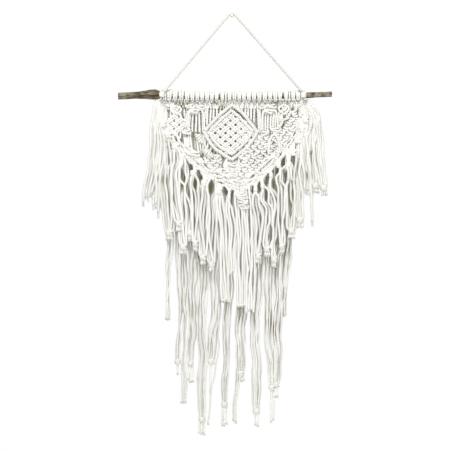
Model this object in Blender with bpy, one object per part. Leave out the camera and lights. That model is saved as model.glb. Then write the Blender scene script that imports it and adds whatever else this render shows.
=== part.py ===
"""Macrame wall hanging: a knotted cotton panel with two layers of fringe, on a branch that hangs
by a cord from a wall pin.

The wall is the plane Y = 0 and the hanging's front looks along -Y. The origin is the middle of
the pin's flat back. Tables are in millimetres, and MM turns them to metres.
"""

import math
import random

import bmesh
import bpy
from mathutils import Vector

MM = 0.001
GAP = 0.3  # between neighbouring pieces
CORD = 5.0  # diameter of the cotton cord
CORD_R = CORD / 2
SIDES = 4  # of a strand, a bar or a knot
DEPTH_STEP = 0.23  # between neighbours in the net, which never lie in exactly one plane
KNOT_PROUD = 1.0  # of a square knot's middle, before the cords
CORD_UNEVEN = 0.1  # between the radii of neighbouring cords

# Depths in front of the wall, as Y.
ROD_Y = -17.0
NET_Y = -17.0
CROSSBAR_Y = -21.0
FRONT_EDGE_Y = -20.0
FRONT_LAYERS_Y = (-24.2, -18.6)
BACK_EDGE_Y = -5.7
BACK_LAYERS_Y = (-8.4, -2.9)

# The branch: along X, with the height of its middle and its radius.
BRANCH = (
    # x, z, radius
    (-228.0, -162.7, 7.6),
    (-214.0, -162.3, 7.7),
    (-194.0, -161.4, 7.4),
    (-175.0, -160.6, 8.1),
    (-163.0, -160.1, 9.9),
    (-153.0, -159.9, 10.4),
    (-143.5, -160.6, 8.0),
    (-120.0, -162.2, 7.0),
    (-64.0, -164.0, 6.4),
    (0.0, -164.8, 6.2),
    (56.0, -164.2, 6.1),
    (106.0, -162.8, 6.0),
    (150.0, -161.5, 5.9),
    (176.0, -160.4, 5.8),
    (200.6, -159.3, 5.7),
)

# The row of lark's heads on the branch.
HEADS = 28
HEADS_FROM_X = -131.5
HEADS_TO_X = 134.5
HEADS_VALLEY = 3.4  # thickness of the row between two heads
CROSSBAR_DROP = 12.0  # of the heads' cross cord, under the branch's middle
CROSSBAR_R = 3.0
CROSSBAR_SWELL = 0.25

# Hanging cord: route of its middle from the left tie over the pin to the right tie.
HANGER_ROUTE = (
    # x, y, z
    (-134.7, -30.0, -155.1),
    (-122.0, -27.6, -139.7),
    (-100.0, -23.6, -113.0),
    (-76.0, -19.3, -83.8),
    (-52.0, -15.0, -54.6),
    (-32.0, -11.3, -30.3),
    (-18.0, -8.3, -13.3),
    (-11.0, -6.6, -4.9),
    (-6.3, -5.7, 0.5),
    (0.0, -5.5, 3.75),
    (6.3, -5.7, 0.5),
    (11.0, -6.6, -4.7),
    (18.0, -7.9, -12.9),
    (32.0, -10.4, -29.3),
    (52.0, -14.0, -52.9),
    (78.0, -18.6, -83.5),
    (104.0, -22.9, -114.1),
    (126.0, -26.6, -140.0),
    (138.2, -28.4, -154.3),
)
HANGER_STEP = 15.0

# Each tie is two turns round the branch and a knot in front, under the end of the hanging cord.
TIES = (
    # name, x of the first turn, x of the second turn, x of the knot
    ("tie_left", -141.3, -136.0, -139.4),
    ("tie_right", 138.4, 143.2, 142.8),
)
TIE_TURN_R = 2.2
TIE_SLACK = 0.3  # between a turn and the branch, more than GAP
TIE_KNOT_SIZE = (11.0, 10.5, 11.0)

# The pin, from the wall outwards: distance from the wall and radius.
PIN = (
    (0.0, 3.6),
    (0.9, 3.6),
    (1.4, 0.9),
    (9.2, 0.9),
    (9.4, 2.4),
    (10.6, 2.4),
    (11.2, 1.6),
)

# Rows of double half hitches, each a ridged bar through its points.
RIDGE = 12.0
EDGE_RIDGE = 17.0
RIDGE_SWELL = 0.22
BARS = (
    # name, radius, points as x and z
    ("diamond_outer_upper_left", 4.2, ((-56, -234), (-27, -206), (1, -181))),
    ("diamond_outer_upper_right", 4.2, ((1, -181), (25, -197), (51, -236))),
    ("diamond_outer_lower_left", 4.2, ((-56, -234), (-38, -265), (-1, -291))),
    ("diamond_outer_lower_right", 4.2, ((51, -236), (33, -265), (-1, -291))),
    ("diamond_inner_upper_left", 3.5, ((-46, -234), (-1, -193.6))),
    ("diamond_inner_upper_right", 3.5, ((-1, -193.6), (17, -206), (41, -233))),
    ("diamond_inner_lower_left", 3.5, ((-46, -234), (-26, -261), (-1, -281))),
    ("diamond_inner_lower_right", 3.5, ((41, -233), (-1, -281))),
    ("corner_left", 3.6, ((-134, -177), (-120, -188), (-98, -209), (-85, -224))),
    ("corner_right", 3.6, ((138, -177), (126, -190), (105, -211), (92, -226))),
    ("shoulder_left", 3.6, ((-134, -207), (-118, -233), (-96, -267))),
    ("shoulder_right", 3.6, ((140, -204), (126, -233), (104, -265))),
    ("edge_left", 4.0, ((-95, -267), (-70, -293), (-40, -320), (-12, -340), (14, -355))),
    ("edge_right", 4.0, ((103, -265), (80, -294), (52, -323), (14, -355))),
)

# Square knots, each a ridged lump.
SQUARE_KNOTS = (
    # x, z, width, height, tilt in degrees
    (-77, -189, 24, 10, 6),
    (-109, -193, 10, 9, 0),
    (-91, -236, 15, 10, 10),
    (-64, -237, 14, 9, 0),
    (-78, -279, 26, 10, -4),
    (-50, -278, 14, 10, -25),
    (-52, -301, 18, 9, -30),
    (-116, -212, 17, 9, 35),
    (-93, -246, 13, 9, 45),
    (-27, -303, 16, 9, -20),
    (1, -303, 18, 9, 0),
    (1, -315, 18, 9, 0),
    (72, -188, 22, 10, -4),
    (118, -194, 10, 9, 0),
    (86, -231, 18, 9, 0),
    (60, -256, 14, 9, 30),
    (47, -284, 16, 9, 35),
    (66, -291, 14, 9, 35),
    (30, -306, 16, 9, 30),
)

# Runs of cords between knots. The first and the last cord are given, the others lie between.
RUNS = (
    # cords, first from x, z, first to x, z, last from x, z, last to x, z
    (3, (-92, -173), (-86, -188), (-66, -173), (-70, -188)),  # heading to the left square knot
    (4, (-88, -190), (-94, -235), (-65, -188), (-60, -236)),  # hanging cords, left
    (2, (-55, -173), (-54, -229), (-46, -173), (-45, -220)),
    (3, (-36, -173), (-36, -213), (-13, -173), (-14, -193)),  # fan onto the diamond, left
    (3, (15, -173), (15, -190), (42, -173), (41, -220)),  # fan onto the diamond, right
    (2, (51, -173), (55, -240), (60, -173), (61, -254)),
    (3, (66, -173), (66, -187), (80, -173), (78, -187)),  # heading to the right square knots
    (4, (68, -189), (71, -254), (94, -186), (90, -230)),  # hanging cords, right
    (2, (-112, -173), (-124, -190), (-106, -173), (-94, -192)),  # leaf, left
    (2, (115, -173), (104, -190), (121, -173), (132, -190)),  # leaf, right
    (3, (-132, -180), (-130, -212), (-93, -214), (-92, -258)),  # corner band, left
    (3, (136, -180), (136, -209), (98, -219), (100, -256)),  # corner band, right
    (3, (-96, -237), (-94, -266), (-82, -237), (-82, -278)),  # under the left knots
    (3, (-69, -238), (-57, -276), (-58, -238), (-46, -273)),
    (2, (-88, -281), (-80, -286), (-68, -281), (-62, -300)),
    (2, (-54, -279), (-58, -300), (-44, -276), (-44, -304)),
    (2, (-34, -269), (-34, -301), (-18, -281), (-20, -305)),
    (1, (-46, -302), (-46, -314), (-46, -302), (-46, -314)),
    (2, (-33, -303), (-32, -326), (-21, -303), (-16, -337)),
    (2, (-4, -291), (-4, -318), (6, -287), (6, -318)),  # sinnet under the diamond
    (2, (-5, -316), (-7, -343), (7, -316), (8, -351)),
    (1, (-32, -305), (-4, -314), (-32, -305), (-4, -314)),  # bridge beside the sinnet
    (2, (83, -232), (78, -266), (91, -232), (96, -274)),  # the two legs of the A
    (2, (57, -257), (45, -283), (66, -258), (62, -290)),
    (1, (78, -267), (70, -291), (78, -267), (70, -291)),
    (2, (43, -284), (30, -305), (54, -287), (52, -322)),
    (2, (27, -307), (20, -350), (36, -306), (36, -336)),
    (1, (26, -270), (30, -305), (26, -270), (30, -305)),
)

# The woven lattice inside the diamond: pairs of cords, over and under.
LATTICE_MIDDLE = (-3.0, -237.4)
LATTICE_STEP = (10.2, 8.2)  # to the next pair along either diagonal
LATTICE_PAIRS = 5
LATTICE_END = 0.8  # steps that a pair runs on into the bars
LATTICE_SKEW = 0.05  # hand knotting is never quite even
LATTICE_WIDTH = 9.0
LATTICE_THICK = 5.0
LATTICE_WAVE = 1.4

# Outside of the V edge: the strip that the front fringe hangs from.
FRONT_EDGE = (
    # x, z
    (-142.5, -182),
    (-144.5, -206),
    (-131, -234),
    (-115, -260),
    (-98, -281),
    (-74, -306),
    (-44, -332),
    (-16, -352),
    (14, -367.5),
    (44, -345),
    (62, -328),
    (90, -299),
    (112, -270),
    (134, -240),
    (148, -212),
    (150, -182),
)
FRONT_EDGE_R = 3.6
STRIP_CREST = 1.12  # share of a strip's radius on a knot, and between two knots
STRIP_VALLEY = 0.9
FRONT_LUMP = 12.0  # spacing of the knots along the strip

# Behind the top of the net: the strip that the back fringe hangs from, its strands all along it.
BACK_EDGE = (
    # x, z
    (-128, -183.0),
    (-60, -185.0),
    (0, -186.0),
    (66, -185.0),
    (131, -183.0),
)
BACK_EDGE_R = 2.6
BACK_LUMP = 24.0

# Fringe, a row for each bundle of strands. A bundle leaves the strip at a share of the strip's
# length, passes its middle point and ends in one gathering knot.
FRONT_BUNDLES = (
    # share, strands, middle x, middle z, end x, end z
    (0.014, 2, -156, -270, -171, -377),
    (0.060, 3, -146, -285, -149, -394),
    (0.120, 2, -133, -320, -125, -442),
    (0.165, 3, -116, -320, -106, -423),
    (0.210, 3, -103, -360, -97, -470),
    (0.255, 2, -87, -360, -84, -442),
    (0.300, 3, -73, -385, -73, -463),
    (0.345, 3, -59, -410, -58, -490),
    (0.390, 3, -42, -430, -41, -504),
    (0.435, 4, -20, -450, -13, -575),
    (0.480, 2, 0, -430, -2, -520),
    (0.520, 4, 20, -455, 18, -583),
    (0.560, 3, 37, -450, 36, -596),
    (0.600, 3, 54, -410, 53, -488),
    (0.645, 3, 71, -395, 70, -474),
    (0.690, 3, 85, -385, 84, -495),
    (0.735, 2, 99, -360, 100, -468),
    (0.785, 3, 116, -335, 119, -438),
    (0.835, 2, 133, -310, 136, -416),
    (0.890, 3, 150, -280, 150, -356),
    (0.945, 2, 166, -262, 168, -352),
    (0.990, 2, 174, -262, 182, -350),
)
BACK_BUNDLES = (
    # share, strands, middle x, middle z, end x, end z
    (0.013, 1, -122, -500, -124, -616),
    (0.053, 2, -106, -520, -109, -706),
    (0.118, 3, -94, -540, -98, -774),
    (0.197, 3, -79, -540, -82, -732),
    (0.289, 4, -60, -560, -60, -828),
    (0.382, 3, -34, -560, -41, -700),
    (0.434, 1, -19, -640, -46, -818),
    (0.500, 4, -8, -570, -12, -818),
    (0.566, 1, 4, -590, 5, -818),
    (0.632, 4, 22, -570, 18, -724),
    (0.724, 3, 48, -560, 49, -810),
    (0.816, 4, 75, -560, 79, -806),
    (0.908, 3, 94, -560, 91, -746),
    (0.974, 2, 111, -520, 106, -616),
)
SPREAD_ROOT = 6.2  # between neighbouring strands of a bundle, along the strip
SPREAD_MIDDLE = 6.0  # the same, half way down
SPREAD_END = 2.9
WOBBLE = 0.9  # to either side
LOW_SHARE = 0.6  # place of a strand's third point between the middle and the end
STRAND_STEPS = 3
END_TAPER = 0.8
KNOT_R = 4.9
KNOT_LENGTH = 11.0
TUFT_R = 3.1
TUFT_LENGTH = 13.0
# A gathering knot and its tuft, from the strands' feet down.
END_KNOT = (
    # drop, radius
    (4.0, KNOT_R),
    (8.0, KNOT_R),
    (KNOT_LENGTH, CORD_R),
    (KNOT_LENGTH + TUFT_LENGTH, TUFT_R),
)

COTTON = (0.86, 0.86, 0.82, 1.0)
BARK = (0.23, 0.19, 0.14, 1.0)
PIN_WHITE = (0.88, 0.88, 0.87, 1.0)


def make_material(name, colour, roughness):
    material = bpy.data.materials.new(name)
    material.use_nodes = True
    shader = material.node_tree.nodes["Principled BSDF"]
    shader.inputs["Base Color"].default_value = colour
    shader.inputs["Roughness"].default_value = roughness
    shader.inputs["Metallic"].default_value = 0.0
    return material


def clear_scene():
    for thing in list(bpy.data.objects):
        bpy.data.objects.remove(thing, do_unlink=True)


def new_collection(name, shown=True):
    collection = bpy.data.collections.new(name)
    bpy.context.scene.collection.children.link(collection)
    collection.hide_render = not shown
    return collection


def smooth_path(points, step):
    """Points about step apart on a Catmull-Rom curve through the given ones."""
    ends = [2 * points[0] - points[1], *points, 2 * points[-1] - points[-2]]
    path = []
    for a, b, c, d in zip(ends, ends[1:], ends[2:], ends[3:]):
        count = max(1, round((c - b).length / step))
        for i in range(count):
            t = i / count
            path.append(
                0.5 * (2 * b + (c - a) * t + (2 * a - 5 * b + 4 * c - d) * t * t
                       + (3 * b - a - 3 * c + d) * t ** 3)
            )
    return path + [points[-1]]


def along(path, share):
    """The point at a share of a path's length."""
    lengths = [(b - a).length for a, b in zip(path, path[1:])]
    left = share * sum(lengths)
    for a, b, length in zip(path, path[1:], lengths):
        if left <= length:
            return a.lerp(b, left / length)
        left -= length
    return path[-1].copy()


def curve_tube(name, points, radii, sides):
    """A tube along points, with a radius at each, as a curve object. All in millimetres."""
    curve = bpy.data.curves.new(name, "CURVE")
    curve.dimensions = "3D"
    curve.bevel_depth = MM
    curve.bevel_resolution = sides // 2 - 2
    curve.use_fill_caps = True
    spline = curve.splines.new("POLY")
    spline.points.add(len(points) - 1)
    for knot, point, radius in zip(spline.points, points, radii):
        knot.co = (*(point * MM), 1)
        knot.radius = radius
    return bpy.data.objects.new(name, curve)


def as_mesh(curve_object, collection):
    """The curve object made a mesh with closed caps."""
    mesh = bpy.data.meshes.new_from_object(curve_object)
    shape = bmesh.new()
    shape.from_mesh(mesh)
    bmesh.ops.remove_doubles(shape, verts=shape.verts, dist=1e-6)
    bmesh.ops.recalc_face_normals(shape, faces=shape.faces)
    shape.to_mesh(mesh)
    shape.free()
    name, place, curve = curve_object.name, curve_object.matrix_world.copy(), curve_object.data
    bpy.data.objects.remove(curve_object)
    bpy.data.curves.remove(curve)
    piece = bpy.data.objects.new(name, mesh)
    piece.matrix_world = place
    collection.objects.link(piece)
    return piece


def triangulate(piece):
    """Cuts a union's faces to triangles, so that no two of them share both ends of a diagonal."""
    faces = piece.modifiers.new("triangles", "TRIANGULATE")
    faces.quad_method = "BEAUTY"
    faces.ngon_method = "BEAUTY"


def fuse(piece, others, material):
    """Joins the objects of a collection to a mesh object by one union."""
    union = piece.modifiers.new("fused", "BOOLEAN")
    union.operation = "UNION"
    union.solver = "EXACT"
    union.operand_type = "COLLECTION"
    union.collection = others
    piece.data.materials.append(material)
    return piece


def ridged(points, radius, pitch):
    """A path's points with radii that rise and fall once for each pitch."""
    path = smooth_path(points, pitch / 2)
    radii = [radius * (1 + RIDGE_SWELL * (i % 2 - 0.5)) for i in range(len(path))]
    return path, radii


def branch_at(x):
    """Middle and radius of the branch at x, between the rows of its table."""
    for (x0, z0, r0), (x1, z1, r1) in zip(BRANCH, BRANCH[1:]):
        if x <= x1:
            t = max(0.0, (x - x0) / (x1 - x0))
            return Vector((x, ROD_Y, z0 + (z1 - z0) * t)), r0 + (r1 - r0) * t
    return Vector((x, ROD_Y, BRANCH[-1][1])), BRANCH[-1][2]


def make_pin(collection, material):
    """A turned pin: its profile is spun round the Y axis."""
    outline = [(0.0, 0.0), *((radius, depth) for depth, radius in PIN), (0.0, PIN[-1][0])]
    mesh = bpy.data.meshes.new("wall_pin")
    shape = bmesh.new()
    verts = [shape.verts.new((radius * MM, -depth * MM, 0)) for radius, depth in outline]
    edges = [shape.edges.new(pair) for pair in zip(verts, verts[1:])]
    bmesh.ops.spin(
        shape, geom=verts + edges, cent=(0, 0, 0), axis=(0, 1, 0), angle=2 * math.pi, steps=16,
        use_merge=True,
    )
    bmesh.ops.remove_doubles(shape, verts=shape.verts, dist=1e-6)
    bmesh.ops.recalc_face_normals(shape, faces=shape.faces)
    shape.to_mesh(mesh)
    shape.free()
    pin = bpy.data.objects.new("wall_pin", mesh)
    pin.data.materials.append(material)
    collection.objects.link(pin)


def make_branch(collection, material):
    points = [Vector((x, ROD_Y, z)) for x, z, _ in BRANCH]
    branch = curve_tube("branch", points, [radius for _, _, radius in BRANCH], 10)
    branch.data.materials.append(material)
    collection.objects.link(branch)


def make_hanger(collection, material):
    route = smooth_path([Vector(point) for point in HANGER_ROUTE], HANGER_STEP)
    hanger = curve_tube("hanger", route, [CORD_R] * len(route), 8)
    hanger.data.materials.append(material)
    collection.objects.link(hanger)


def make_ring(name, x, collection):
    """One turn of cord round the branch."""
    middle, radius = branch_at(x)
    bpy.ops.mesh.primitive_torus_add(
        major_segments=12, minor_segments=5,
        major_radius=(radius + GAP + TIE_SLACK + TIE_TURN_R) * MM, minor_radius=TIE_TURN_R * MM,
        location=middle * MM, rotation=(0, math.pi / 2, 0),
    )
    ring = bpy.context.object
    ring.name = name
    for owner in list(ring.users_collection):
        owner.objects.unlink(ring)
    collection.objects.link(ring)
    return ring


def make_tie(name, first_x, second_x, knot_x, collection, material):
    """Two turns round the branch and a knot in front of it."""
    turns = new_collection(name + "_turns", shown=False)
    make_ring(name + "_turn", second_x, turns)
    middle, radius = branch_at(knot_x)
    wide, deep, high = TIE_KNOT_SIZE
    bpy.ops.mesh.primitive_uv_sphere_add(
        segments=8, ring_count=6, radius=MM / 2,
        location=(middle - Vector((0, radius + GAP + deep / 2, 0))) * MM,
        scale=(wide, deep, high),
    )
    knot = bpy.context.object
    knot.name = name + "_knot"
    for owner in list(knot.users_collection):
        owner.objects.unlink(knot)
    turns.objects.link(knot)
    fuse(make_ring(name, first_x, collection), turns, material)


def heads_path():
    """Along the branch, two points a lark's head: a valley and a crest."""
    pitch = (HEADS_TO_X - HEADS_FROM_X) / HEADS
    points, radii = [], []
    for i in range(HEADS):
        for share, thick in ((0.0, HEADS_VALLEY), (0.5, CORD)):
            middle, radius = branch_at(HEADS_FROM_X + (i + share) * pitch)
            points.append(middle)
            radii.append(radius + thick)
    middle, radius = branch_at(HEADS_TO_X)
    return points + [middle], radii + [radius + HEADS_VALLEY]


def crossbar():
    """The cords that cross the lark's heads in front, under the branch."""
    pitch = (HEADS_TO_X - HEADS_FROM_X) / HEADS
    count = 2 * HEADS
    points, radii = [], []
    for i in range(count + 1):
        middle, _ = branch_at(HEADS_FROM_X + i * pitch / 2)
        points.append(Vector((middle.x, CROSSBAR_Y, middle.z - CROSSBAR_DROP)))
        radii.append(CROSSBAR_R * (1 + CROSSBAR_SWELL * (i % 2 - 0.5)))
    return points, radii


def net_depth(i):
    """Depth of the i-th piece of the panel: no two neighbours lie in exactly one plane."""
    return NET_Y + DEPTH_STEP * ((3 * i) % 7 - 3)


def square_knot(x, z, width, height, tilt, depth):
    """Points and radii of a lump with three ridges across it."""
    lean = math.radians(tilt)
    points, radii = [], []
    for place, size in ((-0.5, 0.6), (-0.25, 1.0), (0.0, 0.75), (0.25, 1.0), (0.5, 0.6)):
        points.append(
            Vector((x + place * width * math.cos(lean), depth, z + place * width * math.sin(lean)))
        )
        radii.append(size * height / 2)
    return points, radii


def lattice():
    """The woven pairs of cords, each a path that goes over and under the others."""
    step_x, step_z = LATTICE_STEP
    half = (LATTICE_PAIRS - 1) / 2
    stops = [-LATTICE_END, *range(LATTICE_PAIRS), LATTICE_PAIRS - 1 + LATTICE_END]
    for way in (1, -1):
        for i in range(LATTICE_PAIRS):
            path = []
            for j, stop in enumerate(stops):
                across, down = i - half, stop - half + LATTICE_SKEW * (way + 0.3 * i)
                x = LATTICE_MIDDLE[0] + way * (across - down) * step_x
                z = LATTICE_MIDDLE[1] - (across + down) * step_z
                wave = LATTICE_WAVE * way * (-1) ** (i + j)
                path.append(Vector((x, net_depth(i) + wave, z)))
            yield path, LATTICE_WIDTH / 2 * (1 + 0.01 * way * i)


def nearest_y(path, point):
    """Depth of the path's point that is nearest to another point."""
    return min(path, key=lambda spot: (spot - point).length).y


def make_panel(collection, cutters, material):
    """Lark's heads, bars, square knots and the cords between them, in one solid."""
    pieces = new_collection("panel_pieces", shown=False)
    for i, (name, radius, corners) in enumerate(BARS):
        corners = [Vector((x, net_depth(i), z)) for x, z in corners]
        pitch = RIDGE if name.startswith("diamond") else EDGE_RIDGE
        as_mesh(curve_tube(name, *ridged(corners, radius, pitch), SIDES), pieces)
    for i, row in enumerate(SQUARE_KNOTS):
        points, radii = square_knot(*row, net_depth(i) - KNOT_PROUD)
        as_mesh(curve_tube(f"square_knot_{i}", points, radii, SIDES), pieces)
    as_mesh(curve_tube("crossbar", *crossbar(), SIDES), pieces)
    for i, (count, *ends) in enumerate(RUNS):
        first_from, first_to, last_from, last_to = (Vector((x, 0, z)) for x, z in ends)
        for j in range(count):
            t = j / max(1, count - 1)
            top, foot = first_from.lerp(last_from, t), first_to.lerp(last_to, t)
            top.y = net_depth(i + j)
            foot.y = net_depth(i + j + 2)
            radius = CORD_R - CORD_UNEVEN * (j % 3)
            as_mesh(curve_tube(f"run_{i}_{j}", [top, foot], [radius] * 2, SIDES), pieces)
    for i, (path, radius) in enumerate(lattice()):
        pair = as_mesh(curve_tube(f"pair_{i}", path, [radius] * len(path), SIDES), pieces)
        for vert, middle in ((v, nearest_y(path, v.co / MM)) for v in pair.data.vertices):
            vert.co.y = (middle + (vert.co.y / MM - middle) * LATTICE_THICK / LATTICE_WIDTH) * MM
    core, radii = heads_path()
    panel = as_mesh(curve_tube("panel", core, radii, 6), collection)
    fuse(panel, pieces, material)
    start, end = branch_at(HEADS_FROM_X - 6), branch_at(HEADS_TO_X + 6)
    inside = [start, *(branch_at(x) for x, _, _ in BRANCH if HEADS_FROM_X < x < HEADS_TO_X), end]
    bore = curve_tube(
        "branch_bore", [middle for middle, _ in inside],
        [(radius + GAP) / math.cos(math.pi / 10) for _, radius in inside], 10,
    )
    bore = as_mesh(bore, cutters)
    bore.display_type = "WIRE"
    bore.hide_render = True
    cut = panel.modifiers.new("branch", "BOOLEAN")
    cut.operation = "DIFFERENCE"
    cut.solver = "MANIFOLD"
    cut.object = bore
    triangulate(panel)


def strand_path(root, middle, end, spread, layer_y, knotted, rng):
    """Middle line and radii of one strand of a bundle, from the strip to its end."""
    sway = rng.uniform(-WOBBLE, WOBBLE)
    half = middle + Vector((spread * SPREAD_MIDDLE + sway, 0, 0))
    half.y = layer_y
    spread_low = spread * (SPREAD_MIDDLE + SPREAD_END) / 2
    low = middle.lerp(end, LOW_SHARE) + Vector((spread_low - sway, 0, 0))
    low.y = layer_y
    foot = end + Vector((spread * SPREAD_END, 0, KNOT_LENGTH))
    foot.y = layer_y
    path = smooth_path([root, half, low, foot], (root - end).length / STRAND_STEPS)
    radii = [CORD_R] * (len(path) - 1) + [CORD_R * END_TAPER]
    if knotted:
        for drop, radius in END_KNOT:
            path.append(Vector((foot.x, end.y, foot.z - drop)))
            radii.append(radius)
    return path, radii


def make_fringe(name, edge, edge_radius, lump, bundles, layers, collection, material, seed):
    """A ridged strip with bundles of strands, every bundle ending in one knot."""
    rng = random.Random(seed)
    strands = new_collection(name + "_strands", shown=False)
    smooth_edge = smooth_path(edge, lump)
    edge_length = sum((b - a).length for a, b in zip(smooth_edge, smooth_edge[1:]))
    lumps = [
        edge_radius * (STRIP_CREST if i % 2 else STRIP_VALLEY) for i in range(len(smooth_edge))
    ]
    strip = as_mesh(curve_tube(name, smooth_edge, lumps, SIDES), collection)
    number = 0
    for share, count, middle_x, middle_z, end_x, end_z in bundles:
        middle = Vector((middle_x, sum(layers) / 2, middle_z))
        end = Vector((end_x, sum(layers) / 2, end_z))
        for j in range(count):
            spread = j - (count - 1) / 2
            root = along(smooth_edge, min(1, max(0, share + spread * SPREAD_ROOT / edge_length)))
            path, radii = strand_path(
                root, middle, end, spread, layers[number % 2], j == count // 2, rng
            )
            as_mesh(curve_tube(f"{name}_{number}", path, radii, SIDES), strands)
            number += 1
    fuse(strip, strands, material)
    triangulate(strip)


def main():
    clear_scene()
    hanging = new_collection("macrame_wall_hanging")
    cutters = new_collection("cutters", shown=False)
    cotton = make_material("cotton cord", COTTON, 0.95)
    bark = make_material("weathered branch", BARK, 0.85)
    plastic = make_material("white pin", PIN_WHITE, 0.35)
    make_pin(hanging, plastic)
    make_branch(hanging, bark)
    make_hanger(hanging, cotton)
    for name, first_x, second_x, knot_x in TIES:
        make_tie(name, first_x, second_x, knot_x, hanging, cotton)
    make_panel(hanging, cutters, cotton)
    front = [Vector((x, FRONT_EDGE_Y, z)) for x, z in FRONT_EDGE]
    make_fringe(
        "fringe_front", front, FRONT_EDGE_R, FRONT_LUMP, FRONT_BUNDLES, FRONT_LAYERS_Y,
        hanging, cotton, 3,
    )
    back = [Vector((x, BACK_EDGE_Y, z)) for x, z in BACK_EDGE]
    make_fringe(
        "fringe_back", back, BACK_EDGE_R, BACK_LUMP, BACK_BUNDLES, BACK_LAYERS_Y,
        hanging, cotton, 5,
    )


main()
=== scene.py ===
"""Looks of a macrame wall hanging: cotton cord knotted on a branch that hangs by a cord from a pin.

Tables are in millimetres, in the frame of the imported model: X to the right, -Y to the front, Z up,
with the origin at the middle of the pin's flat back. MM turns them to metres.
"""

import itertools
import math
import random

import bpy
import numpy as np
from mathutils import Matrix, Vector

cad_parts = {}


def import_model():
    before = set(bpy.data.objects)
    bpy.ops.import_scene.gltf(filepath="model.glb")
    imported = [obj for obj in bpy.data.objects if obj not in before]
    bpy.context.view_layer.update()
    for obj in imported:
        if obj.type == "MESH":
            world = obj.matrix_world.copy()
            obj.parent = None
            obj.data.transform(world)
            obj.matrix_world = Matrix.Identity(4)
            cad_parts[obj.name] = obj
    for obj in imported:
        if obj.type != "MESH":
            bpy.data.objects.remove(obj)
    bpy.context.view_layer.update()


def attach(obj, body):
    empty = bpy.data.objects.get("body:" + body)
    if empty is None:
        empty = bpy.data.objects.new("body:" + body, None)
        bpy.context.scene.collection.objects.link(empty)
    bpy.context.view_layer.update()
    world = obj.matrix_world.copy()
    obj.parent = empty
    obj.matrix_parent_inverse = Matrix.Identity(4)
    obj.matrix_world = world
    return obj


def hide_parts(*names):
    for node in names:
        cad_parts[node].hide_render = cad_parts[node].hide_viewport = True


MM = 0.001
SEED = 11

# The photograph: 450 pixels across 900 mm at the net's depth, with this pixel at the origin.
FRAME_PX = 450
PX = 2.0
ORIGIN_PX = (232.0, 14.5)
CAMERA_AWAY = 2600.0
SENSOR = 36.0
MIDDLE = (0, 0, -0.4)  # of the hanging, in metres

# Cotton cord: three plies, laid up loosely.
CORD = 5.0  # thickness
CORD_R = CORD / 2
LAY = 17.0  # length of a full turn of a ply
RING_STEP = 1.6
CURVE_STEPS = 24  # between two of a curve's given points
# Share of the cord's radius round one ply, from the groove over its crown.
PLY_FINE = (0.74, 0.93, 1.0, 0.93)
PLY_PLAIN = (0.77, 0.98, 0.98)
PLIES = 3

# Painted shade in the hollows between cords, found in cells of this size at two reaches, fine and
# wide.
CELL = 2.0
MARGIN_CELLS = 10
HOLLOWS = (
    # cells bridged each way, mm behind the front where it starts, mm to its depth, share
    (1, 2.4, 5.0, 0.22),
    (4, 3.4, 12.0, 0.30),
)
BACK_Y = -13.0  # behind this the grooves are finer
FINER = 0.45
MOST_HOLLOW = 0.62  # but for the gaps between the lumps
BEHIND_Y = -14.0  # from here back the shade of the front layer falls
CURTAIN = (8, 156, 30, 0.7)  # middle, half width, fade and least share of the painted shade in the hollows at the sides
UNDER_EDGE = 75.0  # how far from the net's edge the painted shade in the gaps is deepest
UNDER_EDGE_SHADE = 0.1
SHELTER = 40.0  # how far under the front layer its shade reaches
SHELTER_Y = -18.0  # what lies in front of this is the front layer
SHELTER_SHADE = 0.22
LOWER = (440, 60, 0.25)  # from this depth, over this height, that much more of it
HEADS_MIDDLE_Z = -152.0
HEADS_FOOT_Z = -173.2  # a line of shade lies under the heads
FOOT_SHADE = (0.9, 1.1, 136)  # its strength, height and half width
SPOT_SHADE = 0.8
GAP_SHADE = 0.12  # for each mm of a gap's half width

# Depths in front of the wall, as Y.
ROD_Y = -17.0
NET_Y = -17.0
RUN_Y = -15.0
FRONT_EDGE_Y = -20.0
FRONT_LAYERS_Y = (-24.2, -18.6)
CLOSE_LAYERS_Y = (-22.6, -19.8)  # those of the bundles in the middle, which hang closer
BACK_EDGE_Y = -5.7
BACK_LAYERS_Y = (-8.4, -2.9)

BRANCH = (
    # x, z, radius
    (-228, -162.7, 7.6), (-214, -162.3, 7.7), (-194, -161.4, 7.4), (-175, -160.6, 8.1),
    (-163, -160.1, 9.9), (-153, -159.9, 10.4), (-143.5, -160.6, 8), (-120, -162.2, 7),
    (-64, -164, 6.4), (0, -164.8, 6.2), (56, -164.2, 6.1), (106, -162.8, 6), (150, -161.5, 5.9),
    (176, -160.4, 5.8), (200.6, -159.3, 5.7),
)
ROUND_SIDES = 48
BRANCH_STEP = 2.5

# Lark's heads along the branch, by the x of their middles, and the single turns between them.
HEADS = (
    -125.4, -113.6, -101.2, -89.2, -78.6, -69.2, -59.6, -49.8, -40.2, -30.4, -19.6, -5.0, 5.0,
    14.4, 24.0, 33.6, 43.8, 54.4, 65.4, 76.2, 86.4, 96.4, 107.6, 122.0, 131.8,
)
OPEN_GAPS = (-25.0, 102.0)  # where two heads stand apart and the branch shows
SINGLE_TURNS = (-132.8, -12.6, 114.4)
HEAD_PITCH = 9.4
HEAD_TURNS = (
    # across, degrees from the front over the top, lift off the branch, share of its lean
    (0, -66, 5.6, 0), (1.3, -60, 5.4, 0), (1.9, -44, 3.2, 0), (1.9, -18, 2.3, 1),
    (2.1, 20, 2.1, 1), (2.3, 60, 2.1, 0), (2.4, 105, 2.1, 0), (2.4, 150, 2.1, 0),
    (2.4, 195, 2.1, 0), (2.4, 238, 2.4, 0), (2.3, 270, 2.6, 0),
)

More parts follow.
